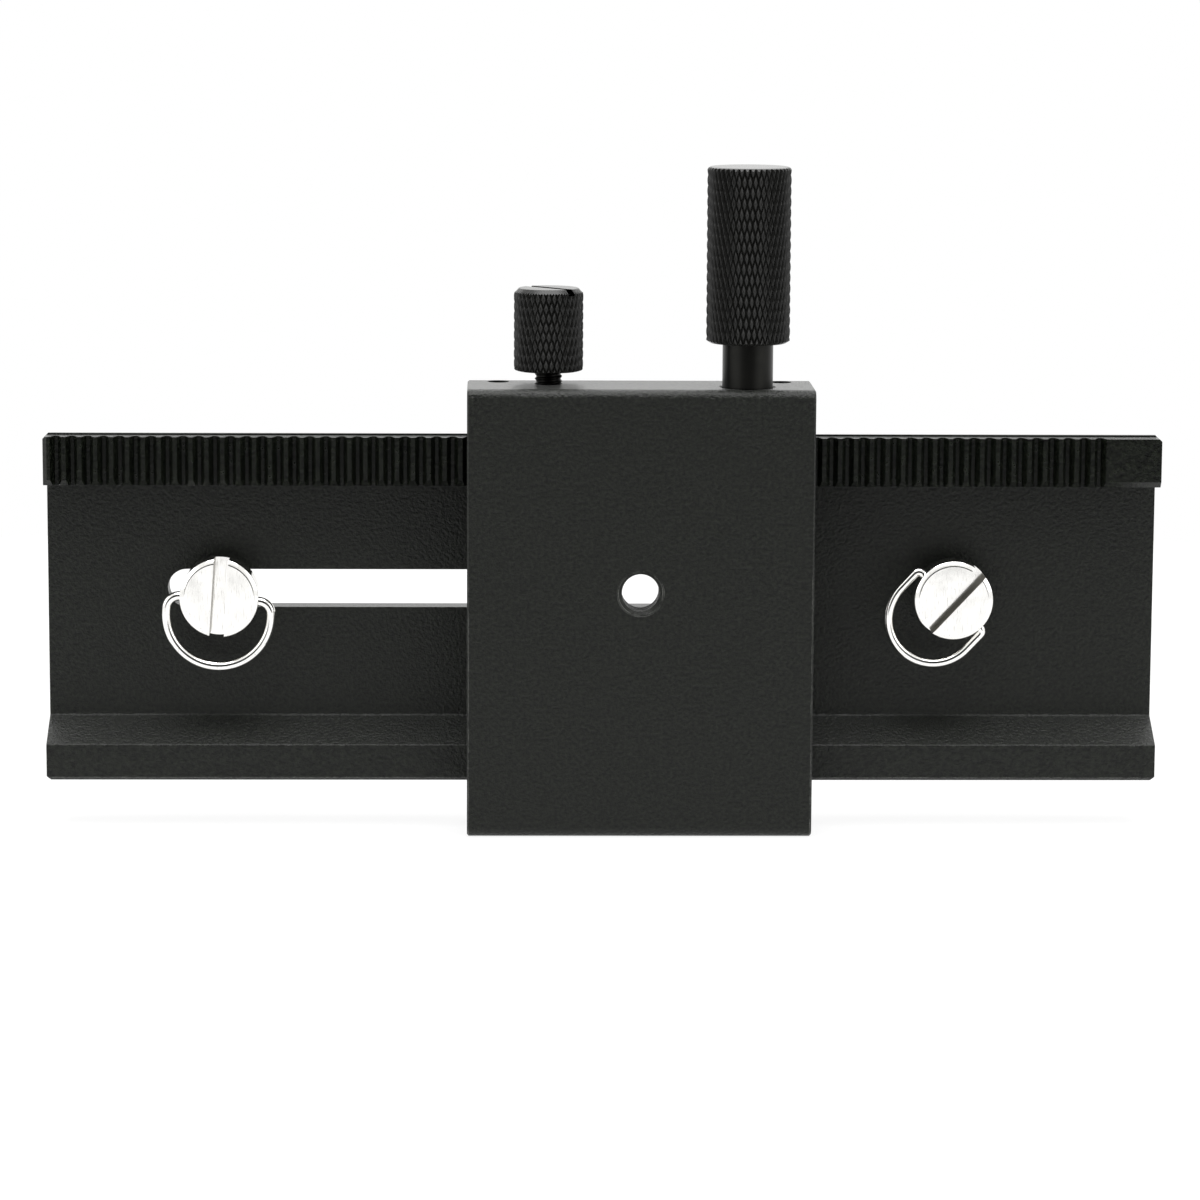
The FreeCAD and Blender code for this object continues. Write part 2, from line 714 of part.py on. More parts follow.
def make_screw_ring(x, z, turn, radius, drop):
    path = ring_path(x, z, radius, drop)
    start = path.OrderedVertexes[0].Point
    section = Part.Wire(Part.makeCircle(wire_radius, start, FreeCAD.Vector(1, 0, 0)))
    return turned(path.makePipeShell([section], True, False), x, z, turn)


def make_screw_washer(x, z):
    height1 = head_back_height - screw_washer_gap
    height0 = height1 - screw_washer_thickness + screw_washer_gap
    disc = peg(screw_washer_radius, x, z, height0, height1)
    return disc.cut(peg(neck_radius + screw_washer_clearance, x, z, height0, height1))


def make_parts():
    gib_left_x, gib_right_x = gib_screw_places()
    return {
        "rail": make_rail(),
        "carriage_block": make_carriage(),
        "gib_strip": make_gib(),
        "gib_screw_left": make_gib_screw(gib_left_x),
        "gib_screw_right": make_gib_screw(gib_right_x),
        "shaft_bush": make_bush(),
        "shaft_thrust_washer": make_thrust_washer(),
        "shaft_retaining_ring": make_retaining_ring(),
        "pinion_shaft": make_pinion_shaft(),
        "focus_knob": make_focus_knob(),
        "focus_set_screw": make_set_screw(),
        "lock_pad": make_lock_pad(),
        "lock_stud": make_lock_stud(),
        "lock_knob": make_lock_knob(),
        "left_screw_washer": make_screw_washer(left_screw_x, left_screw_z),
        "left_camera_screw": make_camera_screw(left_screw_x, left_screw_z, left_screw_turn),
        "left_screw_ring": make_screw_ring(left_screw_x, left_screw_z, left_screw_turn, left_ring_radius,
                                           left_ring_drop),
        "right_screw_washer": make_screw_washer(right_screw_x, right_screw_z),
        "right_camera_screw": make_camera_screw(right_screw_x, right_screw_z, right_screw_turn),
        "right_screw_ring": make_screw_ring(right_screw_x, right_screw_z, right_screw_turn, right_ring_radius,
                                            right_ring_drop),
    }


os.makedirs("parts", exist_ok=True)
for node, shape in make_parts().items():
    shape.exportStep("parts/" + node + ".step")
    print(node, "valid", shape.isValid(), "solids", len(shape.Solids), "volume", round(shape.Volume, 3))
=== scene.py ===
# %% [markdown]
# # Macro focusing rail
# A macro focusing rail carries a camera on a toothed bar. The bar slides through a block that
# stands on a tripod. A long knurled knob turns a pinion against the teeth, and a short one locks
# the bar. The engineering model gives every size and joint, so it is loaded first as a fixed
# frame. This lesson then adds what makes the parts look real: knurls, screw threads, softened
# edges and metal finishes.

# %% Load the frame
import bpy
import math
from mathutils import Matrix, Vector


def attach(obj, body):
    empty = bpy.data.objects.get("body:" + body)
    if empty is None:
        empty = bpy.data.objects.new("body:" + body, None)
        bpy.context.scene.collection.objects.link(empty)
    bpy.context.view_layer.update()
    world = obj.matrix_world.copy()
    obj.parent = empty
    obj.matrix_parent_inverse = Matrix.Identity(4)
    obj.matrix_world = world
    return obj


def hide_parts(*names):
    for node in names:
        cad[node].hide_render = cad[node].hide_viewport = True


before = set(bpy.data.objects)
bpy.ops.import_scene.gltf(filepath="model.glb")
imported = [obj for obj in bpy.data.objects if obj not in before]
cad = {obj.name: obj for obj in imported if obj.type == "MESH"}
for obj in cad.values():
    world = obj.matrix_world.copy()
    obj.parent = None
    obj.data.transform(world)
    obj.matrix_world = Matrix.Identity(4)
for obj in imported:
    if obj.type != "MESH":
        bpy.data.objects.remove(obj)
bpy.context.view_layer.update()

MM = 0.001

# %% [markdown]
# ## Colours and nodes
# A colour written as a hex value is in sRGB, the way a screen shows it, and a shader wants linear
# light. One function turns hex to linear. A second one adds a node with its settings, values and
# links, so that each material below reads as a short list. A colour Mix node takes its colours at
# inputs 6 and 7 and gives output 2. A Map Range node reads the range from input 1 to input 2 and
# gives the range from input 3 to input 4, which is 0 to 1 when they are left out.

# %% Colour and node helpers
def linear(hex_colour):
    """The linear colour, with full alpha, of an sRGB hex value."""
    channels = []
    for start in (1, 3, 5):
        value = int(hex_colour[start:start + 2], 16) / 255
        channels.append(value / 12.92 if value <= 0.04045 else ((value + 0.055) / 1.055) ** 2.4)
    return (*channels, 1.0)


def add_node(tree, kind, inputs, **settings):
    """Adds one node. Each input, by name or number, gets a value or a link from an output."""
    node = tree.nodes.new(kind)
    for name, value in settings.items():
        setattr(node, name, value)
    for key, value in inputs.items():
        if isinstance(value, bpy.types.NodeSocket):
            tree.links.new(value, node.inputs[key])
        else:
            node.inputs[key].default_value = value
    return node


def find_rays(tree, kind, other_kind):
    """A mask that is 1 for light rays of these two kinds and 0 for all others."""
    path = add_node(tree, "ShaderNodeLightPath", {})
    either = add_node(tree, "ShaderNodeMath", {0: path.outputs[kind], 1: path.outputs[other_kind]},
                      operation="MAXIMUM")
    return either.outputs[0]


print("linear mid grey:", [round(c, 3) for c in linear("#808080")])

# %% [markdown]
# ## Camera
# The product is seen a little from above, with a long lens, so that the rail stays nearly square
# to the frame.

# %% Camera
CAMERA_LENS = 135.1
CAMERA_AT = (-0.0147, -0.6414, 0.1320)
CAMERA_TURN = (81.214, -0.2774, -1.2387)
camera_data = bpy.data.cameras.new("camera")
camera_data.lens = CAMERA_LENS
camera_data.sensor_width = 36.0
camera_data.clip_end = 20.0
camera = bpy.data.objects.new("camera", camera_data)
camera.location = CAMERA_AT
camera.rotation_euler = [math.radians(angle) for angle in CAMERA_TURN]
bpy.context.scene.collection.objects.link(camera)
bpy.context.scene.camera = camera
bpy.context.scene.view_settings.view_transform = "Standard"
print("camera:", CAMERA_LENS, "mm lens")

# %% [markdown]
# ## Studio
# Black metal and bright plate show what stands round them more than their own colour. The studio
# is white on every side but one: towards the camera it is dim, as in a real studio behind the
# lamps. That dim patch draws the dark lines in bright metal. The backdrop is white to the eye.

# %% World
PATCH_DIRECTION = Vector((0.0, -0.97, 0.08)).normalized()
PATCH_CORE = math.radians(22)
PATCH_EDGE = math.radians(46)

world = bpy.data.worlds.new("white_studio")
bpy.context.scene.world = world
world.use_nodes = True
sky = world.node_tree
sky.nodes.clear()
looking = add_node(sky, "ShaderNodeTexCoord", {})
near_patch = add_node(sky, "ShaderNodeVectorMath",
                      {0: looking.outputs["Generated"], 1: PATCH_DIRECTION},
                      operation="DOT_PRODUCT")
patch = add_node(sky, "ShaderNodeMapRange",
                 {0: near_patch.outputs["Value"], 1: math.cos(PATCH_EDGE), 2: math.cos(PATCH_CORE)},
                 interpolation_type="SMOOTHSTEP")
walls = add_node(sky, "ShaderNodeMix",
                 {0: patch.outputs[0], 6: linear("#fcfcfb"), 7: linear("#1c1c1c")},
                 data_type="RGBA")
seen = find_rays(sky, "Is Camera Ray", "Is Transmission Ray")
colour = add_node(sky, "ShaderNodeMix", {0: seen, 6: walls.outputs[2], 7: linear("#ffffff")},
                  data_type="RGBA")
background = add_node(sky, "ShaderNodeBackground", {"Color": colour.outputs[2], "Strength": 1.0})
add_node(sky, "ShaderNodeOutputWorld", {"Surface": background.outputs[0]})
print("world nodes:", len(sky.nodes))

# %% [markdown]
# The floor is a round sheet of white card, wider than what stands on it. The eye and reflections
# see it as white, and a share of it stays an ordinary matt surface, which keeps the soft shadow of
# the block. It lies a hair below the foot, so that the two faces don't flicker.

# %% Floor
FLOOR_RADIUS = 0.32
FLOOR_DROP = 0.02
GLOW_SHARE = 0.85
bpy.ops.object.select_all(action="DESELECT")
bpy.ops.mesh.primitive_circle_add(vertices=96, radius=FLOOR_RADIUS, fill_type="NGON",
                                  location=(0, 0, -FLOOR_DROP * MM))
floor = bpy.context.object
floor.name = "floor"
card = bpy.data.materials.new("white_card_matt")
card.use_nodes = True
tree = card.node_tree
tree.nodes.clear()
matt = add_node(tree, "ShaderNodeBsdfPrincipled",
                {"Base Color": linear("#fafafa"), "Roughness": 0.9})
white = add_node(tree, "ShaderNodeEmission", {"Color": linear("#ffffff"), "Strength": 1.0})
share = add_node(tree, "ShaderNodeMath",
                 {0: find_rays(tree, "Is Camera Ray", "Is Glossy Ray"), 1: GLOW_SHARE},
                 operation="MULTIPLY")
sheet = add_node(tree, "ShaderNodeMixShader",
                 {0: share.outputs[0], 1: matt.outputs[0], 2: white.outputs[0]})
add_node(tree, "ShaderNodeOutputMaterial", {"Surface": sheet.outputs[0]})
floor.data.materials.append(card)
print("floor:", FLOOR_RADIUS * 2, "m across")

# %% [markdown]
# Four soft boxes add form to the even light: a large one overhead, one behind that draws the upper
# edges, and a weak one at each side. A lamp's light falls off with the square of its distance, so
# each is given as the share of plain light that it adds at the object.

# %% Lamps
def add_soft_box(name, at, side, share):
    """A square lamp that faces the object and adds this share of plain light there."""
    lamp = bpy.data.lights.new(name, "AREA")
    lamp.shape = "SQUARE"
    lamp.size = side
    lamp.energy = share * math.pi ** 2 * Vector(at).length ** 2
    box = bpy.data.objects.new(name, lamp)
    box.location = at
    box.rotation_euler = (-Vector(at)).to_track_quat("-Z", "Y").to_euler()
    bpy.context.scene.collection.objects.link(box)
    print(name, round(lamp.energy, 2), "W")


add_soft_box("soft_box_top", at=(0.0, -0.20, 1.0), side=0.9, share=1.25)
add_soft_box("soft_box_back", at=(0.0, 0.75, 0.75), side=0.8, share=0.4)
add_soft_box("soft_box_left", at=(-1.0, -0.45, 0.45), side=0.7, share=0.15)
add_soft_box("soft_box_right", at=(1.0, -0.45, 0.45), side=0.7, share=0.15)

# %% [markdown]
# ## Modelling helpers
# The pieces below are made as in a workshop: turned about an axis, then cut by a tool. Each is
# modelled upright at the origin, where its axis is Z, and is moved to its place at the end.
# Applying that move keeps the object itself at the origin, so that patterns measured from the
# object stay where they are. Lengths are in millimetres from here on.

# %% Select, edit and finish
def select_only(piece):
    """Selects this piece alone and makes it the active one."""
    bpy.ops.object.select_all(action="DESELECT")
    piece.select_set(True)
    bpy.context.view_layer.objects.active = piece


def open_for_edit(piece):
    """Opens this piece alone for editing, with all of it selected."""
    select_only(piece)
    bpy.ops.object.mode_set(mode="EDIT")
    bpy.ops.mesh.select_all(action="SELECT")


def close_edit():
    """Turns all faces outwards and leaves edit mode."""
    bpy.ops.mesh.select_all(action="SELECT")
    bpy.ops.mesh.normals_make_consistent(inside=False)
    bpy.ops.object.mode_set(mode="OBJECT")


def trim_ends(piece, foot, top, weld):
    """Welds points that are this close, cuts both ends square and closes them."""
    open_for_edit(piece)
    bpy.ops.mesh.remove_doubles(threshold=weld * MM)
    for height, clear in ((foot, "clear_inner"), (top, "clear_outer")):
        bpy.ops.mesh.select_all(action="SELECT")
        bpy.ops.mesh.bisect(plane_co=(0, 0, height * MM), plane_no=(0, 0, 1), use_fill=True,
                            **{clear: True})
    close_edit()


def finish(piece, kind, **settings):
    """Adds a modifier with its settings and applies it to the mesh."""
    modifier = piece.modifiers.new(kind.lower(), kind)
    for name, value in settings.items():
        setattr(modifier, name, value)
    bpy.context.view_layer.objects.active = piece
    bpy.ops.object.modifier_apply(modifier=modifier.name)


# %% Place, cut and mill
def place(piece, at=(0, 0, 0), turn_by=(0, 0, 0)):
    """Turns a piece by degrees about X, Y and Z, moves it, and applies both to its mesh."""
    select_only(piece)
    piece.rotation_euler = [math.radians(angle) for angle in turn_by]
    piece.location = [value * MM for value in at]
    bpy.ops.object.transform_apply()


def cut(piece, tool, operation="DIFFERENCE"):
    """Cuts a solid with another one, joins them or keeps what they share. Uses up the tool."""
    finish(piece, "BOOLEAN", operation=operation, solver="EXACT", object=tool)
    bpy.data.objects.remove(tool)


def mill_slot(piece, size, height, angle=0):
    """Mills a slot into the top of a piece with a block of this size, centred at this height."""
    bpy.ops.object.select_all(action="DESELECT")
    bpy.ops.mesh.primitive_cube_add(size=1.0)
    mill = bpy.context.object
    mill.scale = [value * MM for value in size]
    place(mill, at=(0, 0, height), turn_by=(0, 0, angle))
    cut(piece, mill)


# %% [markdown]
# A lathe piece starts as a filled circle. Each step pulls the circle up and widens or narrows it,
# which is how the outline of a turned part is read from one end to the other.

# %% Turning
def turn(name, rings, sides=96):
    """A round solid about Z. rings is its outline from foot to top, as pairs of radius, height."""
    radius, height = rings[0]
    bpy.ops.object.select_all(action="DESELECT")
    bpy.ops.mesh.primitive_circle_add(vertices=sides, radius=radius * MM, fill_type="NGON")
    piece = bpy.context.object
    piece.name = name
    open_for_edit(piece)
    bpy.ops.transform.translate(value=(0, 0, height * MM))
    for next_radius, next_height in rings[1:]:
        rise = (0, 0, (next_height - height) * MM)
        bpy.ops.mesh.extrude_region_move(TRANSFORM_OT_translate={"value": rise})
        size = next_radius / radius
        bpy.ops.transform.resize(value=(size, size, 1), center_override=(0, 0, 0))
        radius, height = next_radius, next_height
    close_edit()
    return piece


# %% [markdown]
# A screw thread is one tooth outline wound round the axis: a crest an eighth of the pitch wide, a
# root a quarter wide and sloping flanks between them. The outline is drawn by extruding a single
# point, and the Screw modifier winds it. The ends are then cut square and closed.

# %% Threading
# Each step of the outline goes out by a share of the depth and up by a share of the pitch.
THREAD_OUTLINE = ((0, 0.25), (1, 0.3125), (0, 0.125), (-1, 0.3125))


def wind_thread(name, radius, pitch, depth, foot, top, sides=64):
    """A closed right-hand screw thread about Z, with its crests at this radius."""
    bpy.ops.object.select_all(action="DESELECT")
    bpy.ops.mesh.primitive_plane_add(size=MM)
    piece = bpy.context.object
    piece.name = name
    open_for_edit(piece)
    bpy.ops.mesh.merge(type="CENTER")
    bpy.ops.transform.translate(value=((radius - depth) * MM, 0, (foot - 1.5 * pitch) * MM))
    for out, up in THREAD_OUTLINE:
        step = (out * depth * MM, 0, up * pitch * MM)
        bpy.ops.mesh.extrude_region_move(TRANSFORM_OT_translate={"value": step})
    bpy.ops.object.mode_set(mode="OBJECT")
    turns = math.ceil((top - foot) / pitch) + 3
    finish(piece, "SCREW", screw_offset=pitch * MM, iterations=turns, steps=sides,
           render_steps=sides)
    trim_ends(piece, foot, top, weld=0.005)
    return piece


# %% [markdown]
# ## Knurled knobs
# A diamond knurl is pressed into the turned bar by two wheels. Each leaves slanting grooves, one
# family leaning left and one leaning right, and between them stand small diamonds. So one diamond
# is modelled: a four-sided face, inset along the groove's flank and again for its slightly domed
# top. Two arrays, stepped by an empty, stack it in rows that are half a diamond apart and carry
# the stack round the bar.

# %% Knurling
# Each step of a diamond goes inwards and up by a share of the knurl's depth.
DIAMOND_STEPS = ((0.45, 0.55), (0.45, 0.37), (0.20, 0.08))


def add_step(name, angle, lift):
    """An empty that tells an array how far to turn and lift each copy."""
    bpy.ops.object.empty_add()
    step = bpy.context.object
    step.name = name
    step.rotation_euler = (0, 0, angle)
    step.location = (0, 0, lift * MM)
    return step


def press_knurl(name, radius, depth, grooves, diamond_height, foot, top):
    """A closed bar about Z whose side is covered with knurl diamonds."""
    root = radius - depth
    half_width = root * math.tan(math.pi / grooves)
    half_height = diamond_height / 2
    bpy.ops.object.select_all(action="DESELECT")
    bpy.ops.mesh.primitive_circle_add(vertices=4, radius=1.0, fill_type="NGON",
                                      rotation=(0, math.radians(90), 0))
    piece = bpy.context.object
    piece.name = name
    bpy.ops.object.transform_apply()
    open_for_edit(piece)
    bpy.ops.transform.resize(value=(1, half_width * MM, half_height * MM),
                             center_override=(0, 0, 0))
    bpy.ops.transform.translate(value=(root * MM, 0, foot * MM))
    for inwards, up in DIAMOND_STEPS:
        bpy.ops.mesh.inset(thickness=inwards * depth * MM, depth=up * depth * MM)
    bpy.ops.object.mode_set(mode="OBJECT")
    rows = math.ceil((top - foot) / half_height) + 2
    row_step = add_step("row_step", math.pi / grooves, half_height)
    column_step = add_step("column_step", 2 * math.pi / grooves, 0)
    bpy.context.view_layer.update()
    for count, step in ((rows, row_step), (grooves, column_step)):
        finish(piece, "ARRAY", count=count, use_relative_offset=False, use_object_offset=True,
               offset_object=step)
        bpy.data.objects.remove(step)
    trim_ends(piece, foot + half_height, top, weld=0.03)
    print(name, len(piece.data.polygons), "faces in", rows, "rows")
    return piece


# %% [markdown]
# The focus knob is a bar of nearly 12 mm with a fine knurl from end to end. The turned blank with
# its chamfers is what the knurled bar is cut to, and then the bore for the shaft and the hole for
# its set screw are drilled.

# %% Focus knob
KNOB_RADIUS = 5.95
KNOB_LENGTH = 24.85
KNOB_AT = (20.35, -5.055, 70.65)
SHAFT_BORE_RADIUS = 3.05
SET_SCREW_RADIUS = 1.55
focus_knob = press_knurl("knurled_focus_knob", KNOB_RADIUS, depth=0.32, grooves=45,
                         diamond_height=3.05, foot=-3.0, top=KNOB_LENGTH + 1.0)
blank = turn("knob_blank", (
    (5.45, 0), (KNOB_RADIUS, 0.35), (6.2, 0.45), (6.2, KNOB_LENGTH - 0.55),
    (KNOB_RADIUS, KNOB_LENGTH - 0.4), (5.75, KNOB_LENGTH - 0.12), (5.5, KNOB_LENGTH)), sides=90)
cut(focus_knob, blank, "INTERSECT")
cut(focus_knob, turn("shaft_bore", ((SHAFT_BORE_RADIUS, -1.0), (SHAFT_BORE_RADIUS, 18.0))))
set_screw_drill = turn("set_screw_drill", ((SET_SCREW_RADIUS, 0), (SET_SCREW_RADIUS, 8.0)),
                       sides=32)
place(set_screw_drill, at=(0, 0, 4.5), turn_by=(-90, 0, 0))
cut(focus_knob, set_screw_drill)
place(focus_knob, at=KNOB_AT)
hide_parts("focus_knob")
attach(focus_knob, "focus_drive")
print("focus knob:", len(focus_knob.data.polygons), "faces")

# %% [markdown]
# The lock knob is shorter and has the same kind of knurl, with a smooth chamfer at its top and a
# slot for a coin or a screwdriver.

# %% Lock knob
LOCK_KNOB_RADIUS = 4.95
LOCK_KNOB_LENGTH = 11.8
LOCK_KNOB_AT = (-7.9, -1.345, 66.2)
STUD_BORE_RADIUS = 2.0
lock_knob = press_knurl("knurled_lock_knob", LOCK_KNOB_RADIUS, depth=0.3, grooves=36,
                        diamond_height=2.7, foot=-3.0, top=LOCK_KNOB_LENGTH + 1.0)
blank = turn("lock_blank", (
    (4.5, 0), (4.8, 0.12), (5.1, 0.42), (5.1, LOCK_KNOB_LENGTH - 0.75),
    (4.8, LOCK_KNOB_LENGTH - 0.6), (4.3, LOCK_KNOB_LENGTH - 0.06), (4.2, LOCK_KNOB_LENGTH)),
    sides=90)
cut(lock_knob, blank, "INTERSECT")
cut(lock_knob, turn("stud_bore", ((STUD_BORE_RADIUS, -1.0), (STUD_BORE_RADIUS, 8.0))))
mill_slot(lock_knob, size=(12, 1.2, 1.8), height=LOCK_KNOB_LENGTH, angle=-48)
place(lock_knob, at=LOCK_KNOB_AT)
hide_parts("lock_knob")
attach(lock_knob, "lock_screw")
print("lock knob:", len(lock_knob.data.polygons), "faces")

# %% [markdown]
# ## Threads
# The lock knob's stud is an M4 thread. Its end chamfers come from a turned blank, as a die leaves
# them.

# %% Lock stud
LOCK_STUD_AT = (-7.9, -1.345, 58.6)
lock_stud = wind_thread("threaded_lock_stud", radius=1.95, pitch=0.7, depth=0.2, foot=-1.0,
                        top=16.5)
stud_blank = turn("stud_blank", ((1.65, 0), (2.0, 0.35), (2.0, 15.2), (1.65, 15.55)))
cut(lock_stud, stud_blank, "INTERSECT")
place(lock_stud, at=LOCK_STUD_AT)
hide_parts("lock_stud")
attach(lock_stud, "lock_screw")
print("lock stud:", len(lock_stud.data.polygons), "faces")

# %% [markdown]
# The block's tripod hole is tapped with the thread of tripod screws, 20 turns to the inch. The
# drilled hole of the frame is smooth, so a thin tapped sleeve lines it: a turned tube, cut by the
# thread that fits it. The camera screws below have the same thread.

# %% Tripod thread
THREAD_RADIUS = 3.175
THREAD_PITCH = 1.27
THREAD_DEPTH = 0.65
SLEEVE_RADIUS = 3.19
SLEEVE_AT = (5.2, -4.445, 35.3)
tripod_thread = turn("tapped_tripod_hole", ((SLEEVE_RADIUS, 0.1), (SLEEVE_RADIUS, 5.5)))
cut(tripod_thread, turn("drill", ((3.3, -0.1), (2.65, 0.6), (2.65, 5.0), (3.3, 5.7))))
tap = wind_thread("tap", THREAD_RADIUS, THREAD_PITCH, THREAD_DEPTH, foot=-0.5, top=6.1)
cut(tripod_thread, tap)
place(tripod_thread, at=SLEEVE_AT, turn_by=(90, 0, 0))
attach(tripod_thread, "carriage")
print("tripod thread:", len(tripod_thread.data.polygons), "faces")

# %% [markdown]
# ## Camera screws
# Each camera screw is one turned and plated piece: a slotted head that fingers or a coin can turn,
# a neck that slides in the rail's slot, and the thread that goes into the camera. It is turned in
# one go from the neck to the face, with edges that are rounded by polishing, and the thread is
# joined on.

# %% Head, neck and thread
NECK_RADIUS = 2.2
HEAD_RADIUS = 5.65
FACE_HEIGHT = 3.445
screw = turn("left_slotted_screw", (
    (NECK_RADIUS, -7.4), (NECK_RADIUS, -0.955), (5.5, -0.955), (5.62, -0.9), (HEAD_RADIUS, -0.8),
    (HEAD_RADIUS, 3.04), (5.63, 3.09), (5.58, 3.13), (5.1, 3.4), (5.03, 3.43),
    (4.93, FACE_HEIGHT)), sides=128)
shank_thread = wind_thread("shank_thread", THREAD_RADIUS, THREAD_PITCH, THREAD_DEPTH, foot=-12.0,
                           top=-6.0)
shank_blank = turn("shank_blank", ((2.65, -11.005), (3.2, -10.45), (3.2, -7.6), (2.65, -7.105)))
cut(shank_thread, shank_blank, "INTERSECT")
cut(screw, shank_thread, "UNION")
print("head and thread:", len(screw.data.polygons), "faces")

# %% [markdown]
# The slot and the two holes for the ring are cut, and the new edges are rounded. A polishing wheel
# doesn't reach the walls of the slot, so their faces are marked for a second, duller finish.

# %% Slot and ring holes
SLOT_WIDTH = 2.1
RING_HOLE_RADIUS = 0.73
RING_HOLE_AT = (0, -0.35, 1.245)
mill_slot(screw, size=(SLOT_WIDTH, 14, 5.7), height=FACE_HEIGHT)
for lean in (90, -90):
    ring_drill = turn("ring_drill", ((RING_HOLE_RADIUS, 3.8), (RING_HOLE_RADIUS, 6.5)), sides=32)
    place(ring_drill, at=RING_HOLE_AT, turn_by=(0, lean, 0))
    cut(screw, ring_drill)
finish(screw, "BEVEL", width=0.12 * MM, segments=3, limit_method="ANGLE",
       angle_limit=math.radians(70))
slot_walls = [face for face in screw.data.polygons if abs(face.normal.x) > 0.9
              and abs(abs(face.center.x) - SLOT_WIDTH / 2 * MM) < 0.05 * MM]
for face in slot_walls:
    face.material_index = 1
print("slot walls:", len(slot_walls), "faces")

# %% [markdown]
# The second screw is a copy. Each is turned so that its slot stands at its own angle, and is then
# laid on its side in the rail.

# %% Left and right screws
right_screw = screw.copy()
right_screw.data = screw.data.copy()
right_screw.name = "right_slotted_screw"
bpy.context.scene.collection.objects.link(right_screw)
SCREW_PLACES = ((screw, "left", -55.0, 33.5, -4.0), (right_screw, "right", 50.45, 33.3, -43.0))
for piece, side, x, z, slot_angle in SCREW_PLACES:
    place(piece, turn_by=(0, 0, slot_angle))
    place(piece, at=(x, 0, z), turn_by=(90, 0, 0))
    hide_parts(side + "_camera_screw")
    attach(piece, side + "_screw")
    print(piece.name, len(piece.data.polygons), "faces")

# %% [markdown]
# ## Finishes
# Every material reads the object's own coordinates in millimetres, so that its grain has a real
# size. Most finishes are one noise that mixes two close tones, under one shader.

# %% Material helpers
def start_material(name):
    """A new material with the object's own coordinates in millimetres."""
    material = bpy.data.materials.new(name)
    material.use_nodes = True
    tree = material.node_tree
    tree.nodes.clear()
    point = add_node(tree, "ShaderNodeTexCoord", {})
    mm = add_node(tree, "ShaderNodeVectorMath", {0: point.outputs["Object"], 1: (1000, 1000, 1000)},
                  operation="MULTIPLY")
    return material, tree, mm.outputs[0]


def add_grain(tree, mm, size, detail, dark, light):
    """A noise whose grains have this size, and the tone that it mixes from two colours."""
    noise = add_node(tree, "ShaderNodeTexNoise",
                     {"Vector": mm, "Scale": 1 / size, "Detail": detail})
    tone = add_node(tree, "ShaderNodeMix",
                    {0: noise.outputs[0], 6: linear(dark), 7: linear(light)}, data_type="RGBA")
    return noise.outputs[0], tone.outputs[2]


def end_material(material, inputs):
    """Adds the shader with its inputs and joins it to the output."""
    tree = material.node_tree
    bsdf = add_node(tree, "ShaderNodeBsdfPrincipled", inputs)
    add_node(tree, "ShaderNodeOutputMaterial", {"Surface": bsdf.outputs[0]})
    print(material.name, "has", len(tree.nodes), "nodes")
    return bsdf


# %% [markdown]
# Corners of anodised aluminium are painted a paler grey in short dashes. This is partly wear where
# they rub and partly a painted highlight: the light that slightly rounded corners would catch, on
# hollow corners too. A Bevel node gives the normal that a slightly rounded corner would have. Where
# that differs from the true normal there is a corner, and a noise breaks the line into dashes. The
# dashes are drawn only on the lower part of the rail and block, up to 40 mm high.

# %% Worn and highlit corners
WEAR_AND_HIGHLIGHT_WIDTH = 0.15
WEAR_AND_HIGHLIGHT_HEIGHT = 40.0
WEAR_AND_HIGHLIGHT_FADE = 4.0
DASH_LENGTH = 2.5


def find_worn_and_highlit_edges(tree, mm):
    """A mask that is 1 on the pale stretches of the corners, partly wear and partly painted
    highlight, and 0 elsewhere.
    """
    rounded = add_node(tree, "ShaderNodeBevel", {"Radius": WEAR_AND_HIGHLIGHT_WIDTH * MM}, samples=8)
    true = add_node(tree, "ShaderNodeNewGeometry", {})
    match = add_node(tree, "ShaderNodeVectorMath",
                     {0: rounded.outputs[0], 1: true.outputs["Normal"]}, operation="DOT_PRODUCT")
    corner = add_node(tree, "ShaderNodeMapRange", {0: match.outputs["Value"], 1: 0.985, 2: 0.93})
    dash_noise = add_node(tree, "ShaderNodeTexNoise",
                   {"Vector": mm, "Scale": 1 / DASH_LENGTH, "Detail": 4.0, "Roughness": 0.7})
    dashes = add_node(tree, "ShaderNodeMapRange", {0: dash_noise.outputs[0], 1: 0.42, 2: 0.62})
    place_on_part = add_node(tree, "ShaderNodeSeparateXYZ", {0: mm})
    low = add_node(tree, "ShaderNodeMapRange",
                   {0: place_on_part.outputs["Z"], 1: WEAR_AND_HIGHLIGHT_HEIGHT, 2: WEAR_AND_HIGHLIGHT_HEIGHT - WEAR_AND_HIGHLIGHT_FADE})
    lower_dashes = add_node(tree, "ShaderNodeMath", {0: dashes.outputs[0], 1: low.outputs[0]},
                            operation="MULTIPLY")
    mask = add_node(tree, "ShaderNodeMath", {0: corner.outputs[0], 1: lower_dashes.outputs[0]},
                    operation="MULTIPLY")
    return mask.outputs[0]


# The pale corners are partly wear and partly a painted highlight.
print("corners worn", WEAR_AND_HIGHLIGHT_WIDTH, "mm wide, up to", WEAR_AND_HIGHLIGHT_HEIGHT, "mm")

# %% [markdown]
# The rail and the block are extruded aluminium, blasted with fine beads and anodised black.
# Blasting leaves a matt skin of tiny dents, so the surface shines softly and sparkles a little
# where light grazes it. Seen along the surface only the tops of the dents show, so there it shines
# more. The beads leave dents of about 0.1 mm, which is too fine to show, so they are drawn 0.5 mm
# wide. A little dust in them lifts the surface where it turns away.

# %% Bead-blasted aluminium
DENT = 0.5
DENT_DEPTH = 0.19
DUST = 0.12


